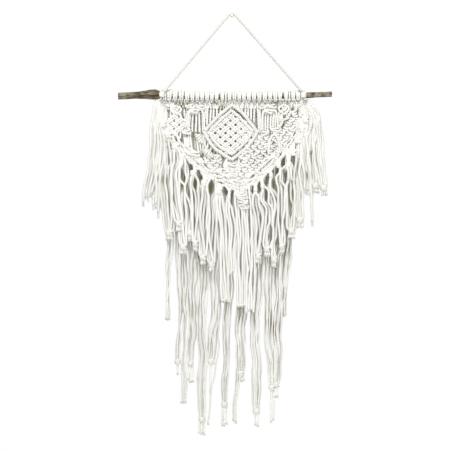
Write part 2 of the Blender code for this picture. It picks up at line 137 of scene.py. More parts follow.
HANGER_ROUTE = (
    # x, y, z
    (-134.7, -30, -155.1), (-122, -27.6, -139.7), (-100, -23.6, -113), (-76, -19.3, -83.8),
    (-52, -15, -54.6), (-32, -11.3, -30.3), (-18, -8.3, -13.3), (-11, -6.6, -4.9),
    (-6.3, -5.7, 0.5), (0, -5.5, 3.75), (6.3, -5.7, 0.5), (11, -6.6, -4.7), (18, -7.9, -12.9),
    (32, -10.4, -29.3), (52, -14, -52.9), (78, -18.6, -83.5), (104, -22.9, -114.1),
    (126, -26.6, -140), (138.2, -28.4, -154.3),
)

TIES = (
    # name, x of the first turn, x of the second turn, x of the knot
    ("tie_left", -141.3, -136.0, -139.4), ("tie_right", 138.4, 143.2, 142.8),
)

PIN = (
    # distance from the wall, radius
    (0, 3.6), (0.9, 3.6), (1.4, 0.9), (9.2, 0.9), (9.4, 2.4), (10.6, 2.4), (11.2, 1.6),
)

# Rows of double half hitches.
BARS = (
    # radius, points as x and z
    (3.9, -56, -234, -27, -203, 1, -180), (3.9, 1, -180, 25, -202, 51, -236),
    (3.9, -56, -234, -38, -264, -1, -291), (3.9, 51, -236, 32, -263, -1, -291),
    (3.4, -46, -234, -23, -211.5, -1, -191.5), (3.4, -1, -191.5, 18, -209, 41, -234),
    (3.4, -46, -234, -32, -258, -1, -280), (3.4, 41, -234, 26, -256, -1, -280),
    (3.2, -135, -178, -120, -188, -98, -209, -85, -224),
    (3.2, 139, -178, 126, -190, 105, -211, 92, -226), (3.2, -139, -209, -120, -232, -96, -265),
    (3.2, 142, -204, 126, -232, 104, -265),
    (4.0, -97, -266, -72, -291, -42, -315, -14, -331, 16, -343),
    (4.0, 105, -265, 82, -292, 54, -320, 16, -343),
    (3.7, -91, -262, -67, -286, -37, -309, -10, -325, 15, -336),
    (3.7, 99, -261, 76, -287, 49, -313, 17, -336),
    (3.7, -106, -268, -86, -287, -58, -311, -28, -330, 16, -350),
    (3.7, 112, -266, 87, -296, 59, -323, 16, -350), (3.2, -137, -216, -124, -240, -100, -271),
    (3.2, 146, -209, 130, -236, 108, -268),
)
ROLLED_KNOTS = (
    # radius, y, points as x and z
    (6.5, NET_Y + 0.5, -70, -239, -66, -248, -62, -257),
    (8.0, NET_Y - 1.0, -57, -269, -49, -277, -41, -286),
)
DIAMOND_BARS = 8
HITCH = 4.3  # width of one turn of cord along a bar
FINE_HITCH = 3.7
HITCH_PRESS = 0.74  # how flat it is pressed

SQUARE_KNOTS = (
    # x, z, width, height, tilt in degrees
    (-84, -184, 17, 9, 8), (-64, -186, 15, 9, -6), (-77, -194, 15, 9, 4), (-91, -236, 16, 10, 10),
    (-78, -279, 26, 10, -4), (1, -301, 16, 9, 0), (1, -311, 18, 9, 0), (1, -321, 16, 9, 0),
    (63, -185, 14, 9, -4), (80, -184, 15, 9, 6), (72, -194, 15, 9, -6), (86, -231, 18, 9, 0),
    (66, -238, 15, 9, 10),
)
# The cords that cross in a square knot, in front and behind: across, depth and height. The first
# and the last are shares of half its width and height.
KNOT_FRONT = (
    (-0.75, 0.6, 1.35), (-0.98, 0.2, 0.9), (-0.6, -2.4, 0.72), (0.1, -3.4, 0.46),
    (0.72, -2.4, 0.2), (0.98, 0.2, -0.02), (0.72, -2.2, -0.2), (0, -3.3, -0.44),
    (-0.65, -2.6, -0.7), (-0.98, 0, -0.9), (-0.75, 1, -1.35),
)
KNOT_BACK = (
    (0.75, 0.6, 1.25), (0.95, -2.2, 0.75), (1, -2, 0.3), (0.6, 1.8, 0.12), (0, 2.6, 0.02),
    (-0.7, 1.6, -0.05), (-1.02, -1.6, -0.2), (-0.98, -2.2, -0.55), (-0.6, 1.6, -0.72),
    (0.2, 2.4, -0.8), (0.85, 0.8, -0.95), (0.75, 0.4, -1.25),
)
# Alternating square knots fill these outlines.
KNOT_MESHES = (
    # points as x and z
    (-100, -262, -80, -284, -56, -290, -36, -274, -22, -292, -20, -327, -42, -313, -66, -296),
    (106, -260, 90, -238, 62, -241, 44, -250, 14, -286, 18, -330, 50, -315, 78, -290),
    (-36, -311, -20, -309, 22, -309, 44, -313, 16, -334, -12, -327),
    (139, -190, 124, -203, 100, -227, 98, -240, 108, -252, 141, -203),
)
KNOT_PITCH = (12.6, 9.2)
LEAVES = ((-112, -191, 21, 17), (104, -190, 21, 20))  # x, z, width, height

# Single cords that bend over into a knot.
LOOPS = (
    # how far in front of the net, points as x and z
    (2.6, -88, -230, -87, -200, -82, -190, -74, -192),
    (2.6, -55, -230, -57, -202, -62, -191, -70, -192),
    (2.6, 60, -232, 61, -203, 64, -193, 72, -193), (2.6, 92, -226, 90, -203, 86, -193, 76, -192),
    (5.5, 73, -280, 75.5, -252, 84, -241, 92.5, -252, 96, -278),
)

# Runs of cords between knots. The first and the last cord are given, the others lie between.
RUNS = (
    # cords, x and z of the first one's top and foot and of the last one's
    (5, -92, -172, -86, -188, -58, -172, -68, -188),
    (6, -89, -192, -94, -234, -60, -190, -58, -236),
    (2, -53, -172, -56, -230, -48, -172, -50, -222),
    (6, -42, -172, -44, -216, -10, -172, -10, -189), (6, 12, -172, 14, -190, 46, -172, 44, -216),
    (3, 50, -172, 54, -240, 60, -172, 62, -236), (3, 66, -172, 66, -187, 80, -172, 78, -187),
    (3, 86, -172, 88, -187, 100, -172, 98, -187), (8, 62, -190, 62, -234, 100, -190, 96, -226),
    (5, -128, -172, -128, -190, -98, -172, -94, -212),
    (5, 104, -172, 100, -216, 132, -173, 134, -190),
    (5, -133, -180, -133, -206, -92, -218, -94, -262),
    (5, 136, -180, 138, -204, 96, -221, 102, -260), (4, -97, -240, -94, -266, -84, -240, -80, -284),
    (4, -72, -240, -66, -284, -58, -240, -50, -278),
    (5, -46, -250, -54, -290, -24, -274, -24, -318),
    (4, -88, -276, -80, -284, -58, -284, -40, -316), (3, -5, -291, -7, -318, 7, -291, 9, -318),
    (5, -20, -318, -18, -328, 26, -318, 24, -334), (2, 86, -233, 86, -262, 92, -233, 98, -262),
    (4, 52, -239, 44, -264, 80, -236, 76, -262),
)

LATTICE = (-3.0, -237.4, 5, 2)  # middle x and z, pairs of cords, half steps beyond the last
CORNER_LATTICE = (-115.0, -221.0, 3, 1)
LATTICE_STEP = (10.2, 8.2)
LATTICE_WAVE = 1.6  # over and under
PAIR_SPREAD = 0.165  # from a pair's middle to each of its cords, in steps

FRONT_EDGE = (
    # x, z
    (-142.5, -182), (-144.5, -206), (-131, -234), (-115, -260), (-98, -281), (-74, -303),
    (-44, -327), (-16, -343), (14, -356), (44, -338), (62, -325), (90, -298), (112, -270),
    (134, -240), (148, -212), (150, -182),
)
BACK_EDGE = ((-128, -183), (-60, -185), (0, -186), (66, -185), (131, -183))  # x, z

# Fringe: a bundle leaves its strip at a share of the strip's length, passes its middle point and
# ends in one gathering knot.
FRONT_BUNDLES = (
    # share, strands, middle x, middle z, end x, end z
    (0.014, 5, -153, -270, -167, -370), (0.06, 5, -144, -285, -147, -388),
    (0.12, 5, -133, -320, -125, -442), (0.165, 4, -119, -320, -106, -423),
    (0.21, 4, -103, -360, -97, -470), (0.255, 3, -87, -360, -84, -442),
    (0.30, 3, -73, -385, -73, -463), (0.345, 4, -59, -410, -58, -490),
    (0.39, 4, -42, -430, -41, -504), (0.435, 4, -20, -450, -13, -575),
    (0.48, 3, 0, -430, -2, -520), (0.52, 4, 20, -455, 18, -583), (0.56, 4, 37, -450, 36, -596),
    (0.60, 3, 54, -410, 53, -488), (0.645, 4, 71, -395, 70, -474), (0.69, 3, 85, -385, 84, -495),
    (0.735, 3, 99, -360, 100, -468), (0.785, 5, 116, -335, 119, -438),
    (0.835, 4, 132, -310, 136, -416), (0.88, 1, 156, -300, 160, -406),
    (0.89, 5, 148, -280, 150, -358), (0.945, 4, 161, -262, 167, -347),
    (0.99, 4, 171, -262, 183, -352),
)
BACK_BUNDLES = (
    # share, strands, middle x, middle z, end x, end z, strands under the knot, their length
    (0.013, 3, -126, -500, -129, -612, 0, 0), (0.053, 4, -103, -540, -109, -700, 1, 20),
    (0.118, 4, -92, -560, -97, -778, 0, 0), (0.197, 5, -78, -560, -83, -704, 4, 32),
    (0.289, 7, -60, -560, -60, -816, 4, 26), (0.382, 7, -32, -560, -42, -700, 1, 62),
    (0.434, 1, -27, -640, -48, -824, 0, 0), (0.50, 5, -9, -580, -15, -786, 4, 40),
    (0.566, 3, 13, -640, 5, -818, 0, 0), (0.632, 7, 20, -580, 18, -724, 5, 10),
    (0.724, 7, 48, -580, 49, -800, 3, 24), (0.816, 5, 72, -580, 80, -752, 2, 66),
    (0.908, 7, 92, -580, 89, -746, 3, 22), (0.974, 4, 110, -500, 103, -606, 0, 0),
)
# The lumps along the front strip: the cords of a bundle come out of the nearest one.
LUMPS = (
    # x, z, width, height
    (-138, -220, 16, 12), (-127, -241, 17, 13), (-113, -264, 18, 14), (-100, -284, 17, 14),
    (-77, -317, 15, 13), (-56, -337, 14, 13), (-27, -353, 18, 16), (-6, -366, 9, 10),
    (47, -350, 10, 12), (61, -343, 10, 11), (78, -322, 10, 10), (93, -303, 11, 10),
    (113, -300, 13, 12), (121, -276, 18, 15), (132, -251, 19, 15), (141, -230, 18, 13),
    (147, -211, 16, 12),
)
LUMP_REACH = 11.0
# The sinnet that hangs from the tip of the net.
SINNET = (
    # x, z, width, height, tilt in degrees
    (17, -361, 18, 9, 13), (21, -369.5, 21, 9, -14), (22, -378, 19, 9, 12),
    (25, -386, 16, 8, -10),
)
ARMS = (-3.6, 0.0, 3.6)  # where the cords of a lump leave the strip, from its middle
# The outermost bundles start above the strip, at the ends of the net's top: x, z of two points.
SIDE_STARTS = {
    0.014: ((-145, -171), (-152, -198)), 0.06: ((-142, -176), (-144, -212)),
    0.12: ((-137, -194), (-136, -240)), 0.835: ((138, -208), (138, -256)),
    0.88: ((142, -184), (150, -225)), 0.89: ((142, -184), (147, -225)),
    0.945: ((145, -174), (159, -208)), 0.99: ((147, -171), (168, -206)),
}
CLOSE_BUNDLES = (0.435, 0.48, 0.52, 0.56)
# Bundles whose ends aren't knotted.
LOOSE_ENDS = (*CLOSE_BUNDLES, 0.014, 0.06, 0.88, 0.89, 0.013, 0.118, 0.434, 0.566, 0.974)
# Gaps between the lumps that the front layer leaves open.
GAPS = (
    # x, z, half width, half height
    (-97.5, -322, 4.5, 11), (-84, -310.5, 6, 6.5), (-64, -329, 5, 5), (-73.4, -339, 3.4, 6),
    (-41.5, -347, 5.2, 7.5), (-12, -352.5, 3.5, 4.5), (0, -367, 3, 10), (102.5, -292.5, 4.6, 6),
    (86.5, -311.5, 6.5, 5.5), (104.5, -322.5, 5, 8.5), (69.5, -330.5, 6, 6.5), (82.5, -340, 3.5, 7),
    (40, -348.5, 3, 6.5), (54, -350, 4, 6), (68, -361, 2.8, 9), (-89, -358, 2.2, 12),
    (117, -389, 2.5, 9), (76, -439, 3.5, 10), (90, -465, 3, 10),
)
# Deep places between the knots of the net, darkened with painted shade.
SPOTS = (
    # x, z, reach
    (-32, -180, 8), (-22, -186, 6), (-106, -177, 7), (-96, -183, 6), (88, -178, 7), (-102, -345, 8),
    (64, -607, 15), (82, -628, 13), (150, -322, 7), (155, -291, 6), (160, -278, 5), (172, -353, 7),
    (186, -358, 6), (148, -177, 4), (-137, -245, 4), (-133, -255, 4), (-127, -265, 4),
    (-136, -330, 8), (-99, -205, 4), (-92, -241, 4.5), (-61, -283, 4), (-37, -276, 4),
    (-54, -300, 4), (108, -180, 4), (114, -188, 4), (104, -215, 6), (116, -205, 4), (104, -237, 5),
    (33, -274, 4), (55, -283, 5), (41, -296, 5), (64, -279, 4), (79, -279, 4), (84, -258, 3),
    (84, -268, 3),
)
# Places where the cords hang so close that their gaps stay pale: less painted shade there.
CLOSE_PLACES = (
    # x, z, reach in x, reach in z, share
    (2, -455, 46, 85, 0.65), (76, -408, 26, 32, 0.7), (-32, -535, 22, 50, 0.7),
    (-168, -300, 26, 110, 0.85), (-128, -440, 16, 60, 0.6), (-84, -470, 20, 30, 0.4),
)
# Windows in the net that the back layer leaves open.
WINDOWS = ((-13, -301, 6, 4.5), (13, -300, 4.5, 4.5))  # x, z, half width, half height
# Waves that the strands of a bundle share, and those of each: axis, size and length.
SHARED_WAVES = ((0, 1.0, 150), (0, 0.4, 70), (1, 0.4, 110))
OWN_WAVES = ((0, 0.4, 120), (0, 0.28, 55), (0, 0.1, 28), (1, 0.7, 75))
FIRM_Z = -520.0  # below this the back layer's strands are firm, and above they are thicker
PARTING = 4.0  # height over which a strand gives way to an opening
EVEN = 5  # points over which its bend is evened out
SPREAD_ROOT = 4.7  # between neighbouring strands of the back layer, along its strip
LOW_SHARE = 0.78  # place of a strand's third point between the middle and the end
KNOT_LENGTH = 11.0
SIDE_SWAY = 1.8  # how much more the bundles at the right wave
LOOKS = {
    # sway, crossings, pitch, step, ply, radius, swell, length of the tuft, openings, layers
    "fringe_front": (1.5, 1, 6.0, 1.9, PLY_FINE, 2.9, 0.0, 9, GAPS, FRONT_LAYERS_Y),
    "close": (1.0, 1, 5.3, 1.9, PLY_FINE, 3.0, 0.0, 9, GAPS, CLOSE_LAYERS_Y),
    "fringe_back": (1.6, 5, 3.3, 2.9, PLY_PLAIN, 1.9, 0.42, 17, WINDOWS, BACK_LAYERS_Y),
}


# == Lines ==


def pairs(values):
    """Points from the x and z of each, one after the other."""
    return list(zip(values[::2], values[1::2]))


def run_along(line):
    """How far along a line each of its points lies."""
    return np.concatenate([[0.0], np.cumsum(np.linalg.norm(np.diff(line, axis=0), axis=1))])


def at_share(line, share):
    """The point at a share of a line's length, or the points at several."""
    run = run_along(line)
    return np.stack([np.interp(share * run[-1], run, line[:, k]) for k in range(3)], -1)


def smooth_line(points, step=RING_STEP):
    """Points a step apart on a Catmull-Rom curve through the given ones."""
    points = np.array(points, float)
    ends = np.vstack([2 * points[0] - points[1], points, 2 * points[-1] - points[-2]])
    t = np.linspace(0, 1, CURVE_STEPS, endpoint=False)[:, None]
    stretches = [
        0.5 * (2 * b + (c - a) * t + (2 * a - 5 * b + 4 * c - d) * t**2
               + (3 * b - a - 3 * c + d) * t**3)
        for a, b, c, d in zip(ends, ends[1:], ends[2:], ends[3:])
    ]
    line = np.vstack([*stretches, points[-1:]])
    count = max(3, round(run_along(line)[-1] / step) + 1)
    return at_share(line, np.linspace(0, 1, count))


def ramp(values, start, length):
    """From 0 at the start to 1 a length on."""
    return np.clip((values - start) / length, 0, 1)


def eased(run, reach):
    """From 0 at a line's ends to 1 at a reach from them."""
    return np.minimum(1, np.minimum(run, run[::-1]) / reach)


def wound(core, turns, steps):
    """Middles, ways out and angles of the points of a cord that winds round a core."""
    share = np.linspace(0, 1, turns * steps + 1)
    middle = at_share(core, share)
    across, outs = ways_along(middle)
    angle = math.tau * turns * share
    return middle, np.cos(angle)[:, None] * outs + np.sin(angle)[:, None] * across, angle


def ways_along(line, out=None):
    """Unit vectors across and outwards at each of a line's points."""
    ahead = np.gradient(line, axis=0)
    ahead /= np.linalg.norm(ahead, axis=1, keepdims=True)
    if out is None:
        outs = np.empty_like(line)
        side = np.array((0.0, -1.0, 0.02) if abs(ahead[0][1]) < 0.9 else (1.0, 0.0, 0.0))
        for i, way in enumerate(ahead):
            side = side - way * side.dot(way)
            side /= np.linalg.norm(side)
            outs[i] = side
    else:
        outs = out - ahead * (out * ahead).sum(1)[:, None]
        outs /= np.linalg.norm(outs, axis=1, keepdims=True)
    return np.cross(ahead, outs), outs


def branch_at(x):
    """Middle and radius of the branch at x."""
    xs, zs, radii = zip(*BRANCH)
    return np.array((x, ROD_Y, np.interp(x, xs, zs))), float(np.interp(x, xs, radii))


def edge_z(x):
    """Height of the net's lower edge at x."""
    return np.interp(x, *zip(*FRONT_EDGE[2:-2]))


# == Cord ==


class Cordage:
    """Lengths of three-ply cotton cord that share one mesh."""

    def __init__(self, seed):
        self.rng = random.Random(seed)
        self.vary = self.rng.uniform
        self.points, self.faces, self.marks, self.tones = [], [], [], []
        self.size = 0

    def lay(self, line, radius=CORD_R, press=1.0, out=None, ply=PLY_PLAIN, tone=None, turn=LAY):
        """A cord along a line in front of the wall. It can be pressed against what it lies on."""
        line = np.array(line, float)
        line[:, 1] = np.minimum(line[:, 1], -np.asarray(radius))
        rings, sides = len(line), PLIES * len(ply)
        across, outs = ways_along(line, out)
        run = run_along(line)
        twist = math.tau * (run / turn + self.rng.random())
        k = np.arange(sides)
        angles = twist[:, None] + math.tau * k / sides
        reach = np.broadcast_to(radius, (rings,))[:, None] * np.tile(ply, PLIES)
        ring = (
            line[:, None]
            + (reach * np.cos(angles))[..., None] * across[:, None]
            + (press * reach * np.sin(angles))[..., None] * outs[:, None]
        )
        self.points += [ring.reshape(-1, 3), line[:1], line[-1:]]
        tone = self.vary(0, 1) if tone is None else tone
        self.tones += [tone] * (rings * sides + 2)
        # Quads between the rings, then a fan of triangles at each end. A ply is one unit of u.
        first, n = self.size, (k + 1) % sides
        last, start = first + (rings - 1) * sides, first + rings * sides
        u, w = k * (PLIES / sides), (k + 1) * (PLIES / sides)
        low = first + sides * np.arange(rings - 1)[:, None]
        below, above = run[:-1, None], run[1:, None]
        self.add(4, (low + k, low + sides + k, low + sides + n, low + n),
                 (u, below, u, above, w, above, w, below))
        self.add(3, (start, first + k, first + n, start + 1, last + n, last + k),
                 (u, 0, u, 0, w, 0, u, run[-1], w, run[-1], u, run[-1]))
        self.size = start + 2

    def add(self, corners, faces, marks):
        """Faces and the UV of their corners, from numbers side by side."""
        self.faces += np.stack(np.broadcast_arrays(*faces), -1).reshape(-1, corners).tolist()
        self.marks.append(np.stack(np.broadcast_arrays(*marks), -1).ravel())

    def piece(self, name, material, node, fronts):
        """The cords as one object, in metres, in place of the CAD node named."""
        mesh = bpy.data.meshes.new(name)
        points = np.vstack(self.points)
        mesh.from_pydata(points * MM, [], self.faces)
        marks = mesh.uv_layers.new(name="cord")
        marks.data.foreach_set("uv", np.concatenate(self.marks).astype(np.float32))
        for label, values in (("hollow_shade", painted_shade_at(points, fronts)), ("tone", self.tones)):
            field = mesh.attributes.new(label, "FLOAT", "POINT")
            field.data.foreach_set("value", np.array(values, np.float32))
        mesh.shade_smooth()
        mesh.materials.append(material)
        cords = bpy.data.objects.new(name, mesh)
        bpy.context.scene.collection.objects.link(cords)
        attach(cords, "root")
        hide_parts(node)


def front_surfaces(cordages):
    """How far forward the cord reaches, in cells of a grid, with gaps up to each reach bridged."""
    points = np.vstack([np.vstack(cords.points) for cords in cordages])
    low = points.min(0) - MARGIN_CELLS * CELL
    cells = np.ceil((points.max(0) - low) / CELL).astype(int) + MARGIN_CELLS
    at = tuple(((points - low) / CELL).astype(int).T[[0, 2]])
    front = np.zeros((cells[0], cells[2]))
    np.minimum.at(front, at, points[:, 1])
    rear = np.full_like(front, points[:, 1].min())
    np.maximum.at(rear, at, points[:, 1])
    bridged = [picked(picked(front, reach, np.min), reach, np.max) for reach, *_ in HOLLOWS]
    surfaces = [picked(field, 1, np.mean) for field in bridged]
    cover = (surfaces[0] < SHELTER_Y).astype(float)
    steps = round(SHELTER / CELL)
    shelter = np.max([np.roll(cover, -k, 1) * (1 - k / steps) for k in range(steps)], axis=0)
    return low, surfaces, picked(shelter, 1, np.mean), picked(rear, 1, np.max)


def picked(field, reach, pick):
    """The least, greatest or mean value of a field within a reach of cells."""
    for axis in (0, 1):
        shifts = [np.roll(field, shift, axis) for shift in range(-reach, reach + 1)]
        field = pick(shifts, axis=0)
    return field


def painted_shade_at(points, fronts):
    """Painted shade: from 0 on the front or the back of the work to 1 deep in its gaps."""
    low, surfaces, shelter, rear = fronts
    at = tuple(((points - low) / CELL).astype(int).T[[0, 2]])
    x, y, z = points.T
    hollow_shade = np.zeros(len(points))
    fine = 1 - (1 - FINER) * (y > BACK_Y) * np.clip((z + 700) / 120, 0.15, 1)
    for surface, (_, slack, depth, share) in zip(surfaces, HOLLOWS):
        hollow_shade += share * ramp(y, surface[at] + slack * fine, depth * fine)
    middle, half_width, fade, least = CURTAIN
    hollow_shade *= np.maximum(least, ramp(half_width - np.abs(x - middle), 0, fade))
    under = 1 - np.abs(edge_z(x) - z - 12) / UNDER_EDGE
    behind = ramp(y, BEHIND_Y, 5)
    lower_from, height, more = LOWER
    sheltered = (SHELTER_SHADE + more * ramp(-z, lower_from, height)) * shelter[at]
    hollow_shade += behind * (UNDER_EDGE_SHADE * np.clip(under, 0, 1) + sheltered)
    hollow_shade = np.minimum(hollow_shade, MOST_HOLLOW)
    strength, height, half_width = FOOT_SHADE
    foot = np.exp(-(((z - HEADS_FOOT_Z) / height) ** 2)) * (np.abs(x) < half_width)
    hollow_shade += strength * foot
    # Painted shade between the heads, down to their foot.
    between = ramp(y, surfaces[0][at] + 2.6, 2.5)
    hollow_shade += between * ramp(HEADS_MIDDLE_Z - z, 0, 12) * (z > HEADS_FOOT_Z - 1)
    deep = ramp(y, surfaces[1][at] + 1.4, 2.6)
    for spot_x, spot_z, reach in SPOTS:
        off = np.hypot(x - spot_x, z - spot_z) / reach
        hollow_shade += SPOT_SHADE * ramp(1.6 - off, 0, 1) * deep
    for place_x, place_z, reach_x, reach_z, share in CLOSE_PLACES:
        near = np.exp(-(((x - place_x) / reach_x) ** 2) - ((z - place_z) / reach_z) ** 2)
        hollow_shade *= 1 - share * near
    for gap_x, gap_z, half_width, half_height in GAPS:
        off = np.hypot((x - gap_x) / half_width, (z - gap_z) / half_height)
        hollow_shade += GAP_SHADE * half_width * ramp(1.8 - off, 0, 1) * behind
    return np.clip(hollow_shade, 0, 1) * ramp(rear[at] - y, 0, 3.5)


# == Knots ==


def round_branch(turns, x):
    """Points at angles round the branch, from the front over the top, each with its own lift."""
    middle, radius = branch_at(x)
    points = []
    for across, degrees, lift in turns:
        angle, reach = math.radians(degrees), radius + lift
        points.append(middle + (across, -reach * math.cos(angle), reach * math.sin(angle)))
    return points, middle


def larks_head(cords, x):
    """A doubled cord over the branch: its bight lies across both ends, in front."""
    for way in (-1, 1):
        rooms = [(place - x) * way for place in (*HEADS, *SINGLE_TURNS)]
        room = min([room for room in rooms if room > 0], default=10)
        fill = min(1.25, max(0.98, room / HEAD_PITCH))
        if min(abs(x + way * room / 2 - gap) for gap in OPEN_GAPS) < 1:
            fill = 0.86
        side = way * fill
        lean = cords.vary(-0.2, 0.2)
        turns = [
            (across * side + share * lean, degrees, lift)
            for across, degrees, lift, share in HEAD_TURNS
        ]
        points, middle = round_branch(turns, x)
        points += [middle + (2.4 * side, 0.5, -14.5), middle + (2.5 * side, -0.5, -24.0)]
        line = smooth_line(points)
        cords.lay(line, fill * (1.85 + 0.85 * ramp(line[:, 2], middle[2] - 7, 10)), ply=PLY_FINE)


def single_turn(cords, x):
    """One end of cord that goes over the branch by itself."""
    turns = [(0.3, angle, 2.3) for angle in range(-40, 271, 44)]
    points, middle = round_branch(turns, x)
    points = [middle + (-0.5, -6.0, -14.0), *points, middle + (0.0, 0.5, -22.0)]
    cords.lay(smooth_line(points), 2.1, ply=PLY_FINE)


def hitched_bar(cords, radius, corners, y=NET_Y - 2.0, hitch=HITCH, sway=0.5):
    """Double half hitches side by side over a cord: pressed turns that wind along it."""
    core = smooth_line([(x, y, z) for x, z in corners], 1.0)
    run = np.arange(len(core))
    for axis, size in ((0, sway), (1, 0.8 * sway), (2, sway)):
        wave, phase = cords.vary(16, 30), cords.vary(0, 6)
        core[:, axis] += eased(run, 12) * size * np.sin(math.tau * run / wave + phase)
    turns = max(2, round(run_along(core)[-1] / hitch))
    middle, radial, angle = wound(core, turns, 14)
    wide = 0.56 * hitch
    uneven = 1 + 0.04 * np.sin(angle * 0.53 + cords.vary(0, 6))
    line = middle + radial * ((radius - HITCH_PRESS * wide) * uneven)[:, None]
    cords.lay(line, wide, press=HITCH_PRESS, out=radial, turn=13.0)


def square_knot(cords, x, z, width, height, tilt, y=NET_Y):
    """One cord crosses the front twice, the other the back, round two that hang straight."""
    half, rise = width / 2, height / 2
    lean = math.radians(tilt)
    swap = cords.rng.choice((-1, 1))
    fat = min(2.3, 0.25 * height)
    cos, sin = math.cos(lean), math.sin(lean)
    for path in (KNOT_FRONT, KNOT_BACK):
        points = []
        for across, depth, up in path:
            a, b = swap * across * half, up * rise
            points.append((x + a * cos - b * sin, y + depth, z + a * sin + b * cos))
        cords.lay(smooth_line(points), fat)
    for across in (-0.3, 0.3):
        a, b = across * half, rise * 1.5
        ends = [(x + a - b * sin, y, z + b), (x + a + b * sin, y, z - b)]
        cords.lay(smooth_line(ends, 3.0), fat)


def inside(x, z, outline):
    """Whether a point lies within an outline."""
    crossed = False
    for (ax, az), (bx, bz) in zip(outline, (*outline[1:], outline[0])):
        if (az > z) != (bz > z) and x < ax + (bx - ax) * (z - az) / (bz - az):
            crossed = not crossed
    return crossed


def knot_mesh(cords, outline):
    """Alternating square knots within an outline, every other row shifted by half a knot."""
    pitch_x, pitch_z = KNOT_PITCH
    for row, column in itertools.product(range(-45, -18), range(-15, 16)):
        x = (column + 0.5 * (row % 2)) * pitch_x + cords.vary(-0.7, 0.7)
        z = row * pitch_z + cords.vary(-0.7, 0.7)
        if inside(x, z, outline):
            square_knot(cords, x, z, 8.8, 8.6, cords.vary(-12, 12), NET_Y - 0.5)


def leaf(cords, x, z, width, height):
    """Two curved bars that meet above and below a small knot."""
    for side in (-1, 1):
        bow = [(x, z + height / 2), (x + side * width / 2, z + 1), (x, z - height / 2)]
        hitched_bar(cords, 2.6, bow, NET_Y - 1.5)
    square_knot(cords, x, z, width * 0.42, 7.5, 0)


def lattice(cords, middle_x, middle_z, count, beyond):
    """Pairs of cords woven over and under, such as between the inner bars of the diamond."""
    step_x, step_z = LATTICE_STEP
    half = (count - 1) / 2
    stops = np.arange(-beyond, 2 * count + beyond - 1) / 2
    for way, i, side in itertools.product((1, -1), range(count), (-1, 1)):
        points = []
        for stop in stops:
            across, down = i - half + PAIR_SPREAD * side, stop - half
            wave = LATTICE_WAVE * way * math.cos(math.pi * (stop + i))
            points.append(
                (middle_x + way * (across - down) * step_x, NET_Y + wave,
                 middle_z - (across + down) * step_z)
            )
        line = smooth_line(points)
        ahead = np.tile((0.0, -1.0, 0.0), (len(line), 1))
        cords.lay(line, 2.35, press=0.75, out=ahead, tone=0.3)


def wrapped_knot(cords, x, y, z, width, height, depth, tone=None):
    """The lump of an overhand knot: turns that cross, pulled round what runs through it."""
    turns = ((28, 0.08, 1.0), (-32, -0.06, 1.0), (-6, -0.27, 0.8), (6, 0.27, 0.8))
    for tilt, rise, share in turns:
        lean = math.radians(tilt + cords.vary(-12, 12))
        angle = np.linspace(-0.2, math.tau + 0.2, 24) + math.pi
        radial = np.column_stack(
            [np.cos(angle) * math.cos(lean), np.sin(angle), np.cos(angle) * math.sin(lean)]
        )
        reach = np.array((width / 2 - 2.2, depth / 2 - 1.9, width / 2 - 2.2)) * share
        line = np.array((x, y, z + rise * height)) + radial * reach
        thick = min(3.2, height * 0.24)
        cords.lay(line, thick, press=0.85, out=radial, turn=26.0, tone=tone)


def frayed_end(cords, tip, yarns, length):
    """The yarns that a cut cord comes apart into, about its tip."""
    for yarn in range(yarns):
        angle = math.tau * yarn / yarns + cords.vary(-0.5, 0.5)
        side = np.array((math.cos(angle), 0.7 * math.sin(angle), 0.0))
        fall = np.array((0.0, 0.0, length * cords.vary(0.55, 1.0)))
        start = tip + side * 1.1 + (0, 0, 2.5)
        points = [start, start + side * 0.4 - fall * 0.5, start + side * 1.1 - fall]
        cords.lay(smooth_line(points, 2.0), 0.75, ply=(1.0,), turn=60.0)


def tuft(cords, x, y, z, ends, length):
    """Cut ends of cord under a knot, side by side and frayed."""
    for i in range(ends):
        lean = (i - (ends - 1) / 2) * 2.6 + cords.vary(-0.8, 0.8)
        depth = cords.vary(-2, 2)
        reach = length * cords.vary(0.8, 1.0)
        sway = cords.vary(-0.06, 0.06) * reach
        foot = np.array((x + lean * 1.15 + 0.5 * sway, y + depth, z - reach))
        half = (x + lean + sway, y + depth * 0.6, z - reach * 0.45)
        line = smooth_line([(x + lean * 0.8, y, z + 3), half, foot], 1.8)
        cords.lay(line, np.linspace(2.3, 2.0, len(line)), turn=24.0)
        frayed_end(cords, foot, 6, 6)


# == Fringe ==


def bends(rng, sway, waves):
    """The gentle waves of a cord: axis, size, length and phase of each."""
    return [
        (axis, size * sway, rng.uniform(0.75, 1.3) * length, rng.uniform(0, math.tau))
        for axis, size, length in waves
    ]


def bent(line, step, waves):
    """A line of points a step apart, bent by waves that fade towards its ends."""
    ease = eased(np.arange(len(line)) * step, 50)
    for axis, size, length, phase in waves:
        line[:, axis] += ease * size * np.sin(math.tau * line[:, 2] / length + phase)
    return line


def parted(line, openings, radius):
    """A line moved aside where it would cross an opening."""
    aside = np.zeros(len(line))
    for x, z, half_width, half_height in openings:
        taper = PARTING + 0.8 * half_height
        near = ramp(half_height - np.abs(line[:, 2] - z), -taper, taper)
        if near.any():
            nearest = line[near.argmax(), 0]
            off = line[:, 0] + aside - x
            room = half_width + radius
            push = np.clip(room - np.abs(off), 0, room) * (-1 if nearest < x else 1)
            aside += push * near * near * (3 - 2 * near)
    even = np.ones(EVEN) / EVEN
    aside = np.convolve(np.pad(aside, EVEN // 2, "edge"), even, "valid")
    return line + aside[:, None] * (1, 0, 0)


def layer(weave, name, bundles, split, shoulder):
    """A layer of bundles as two pieces, which meet at a share of the strip. More can be added."""
    numbers = np.cumsum([0] + [row[1] for row in bundles])
    for half in ("left", "right"):
        cords = weave(f"{name}_{half}", name)
        for number, row in zip(numbers, bundles):
            if (row[0] < split) == (half == "left"):
                look = "close" if row[0] in CLOSE_BUNDLES else name
                bundle(cords, row, number, LOOKS[look], shoulder)
        yield half, cords


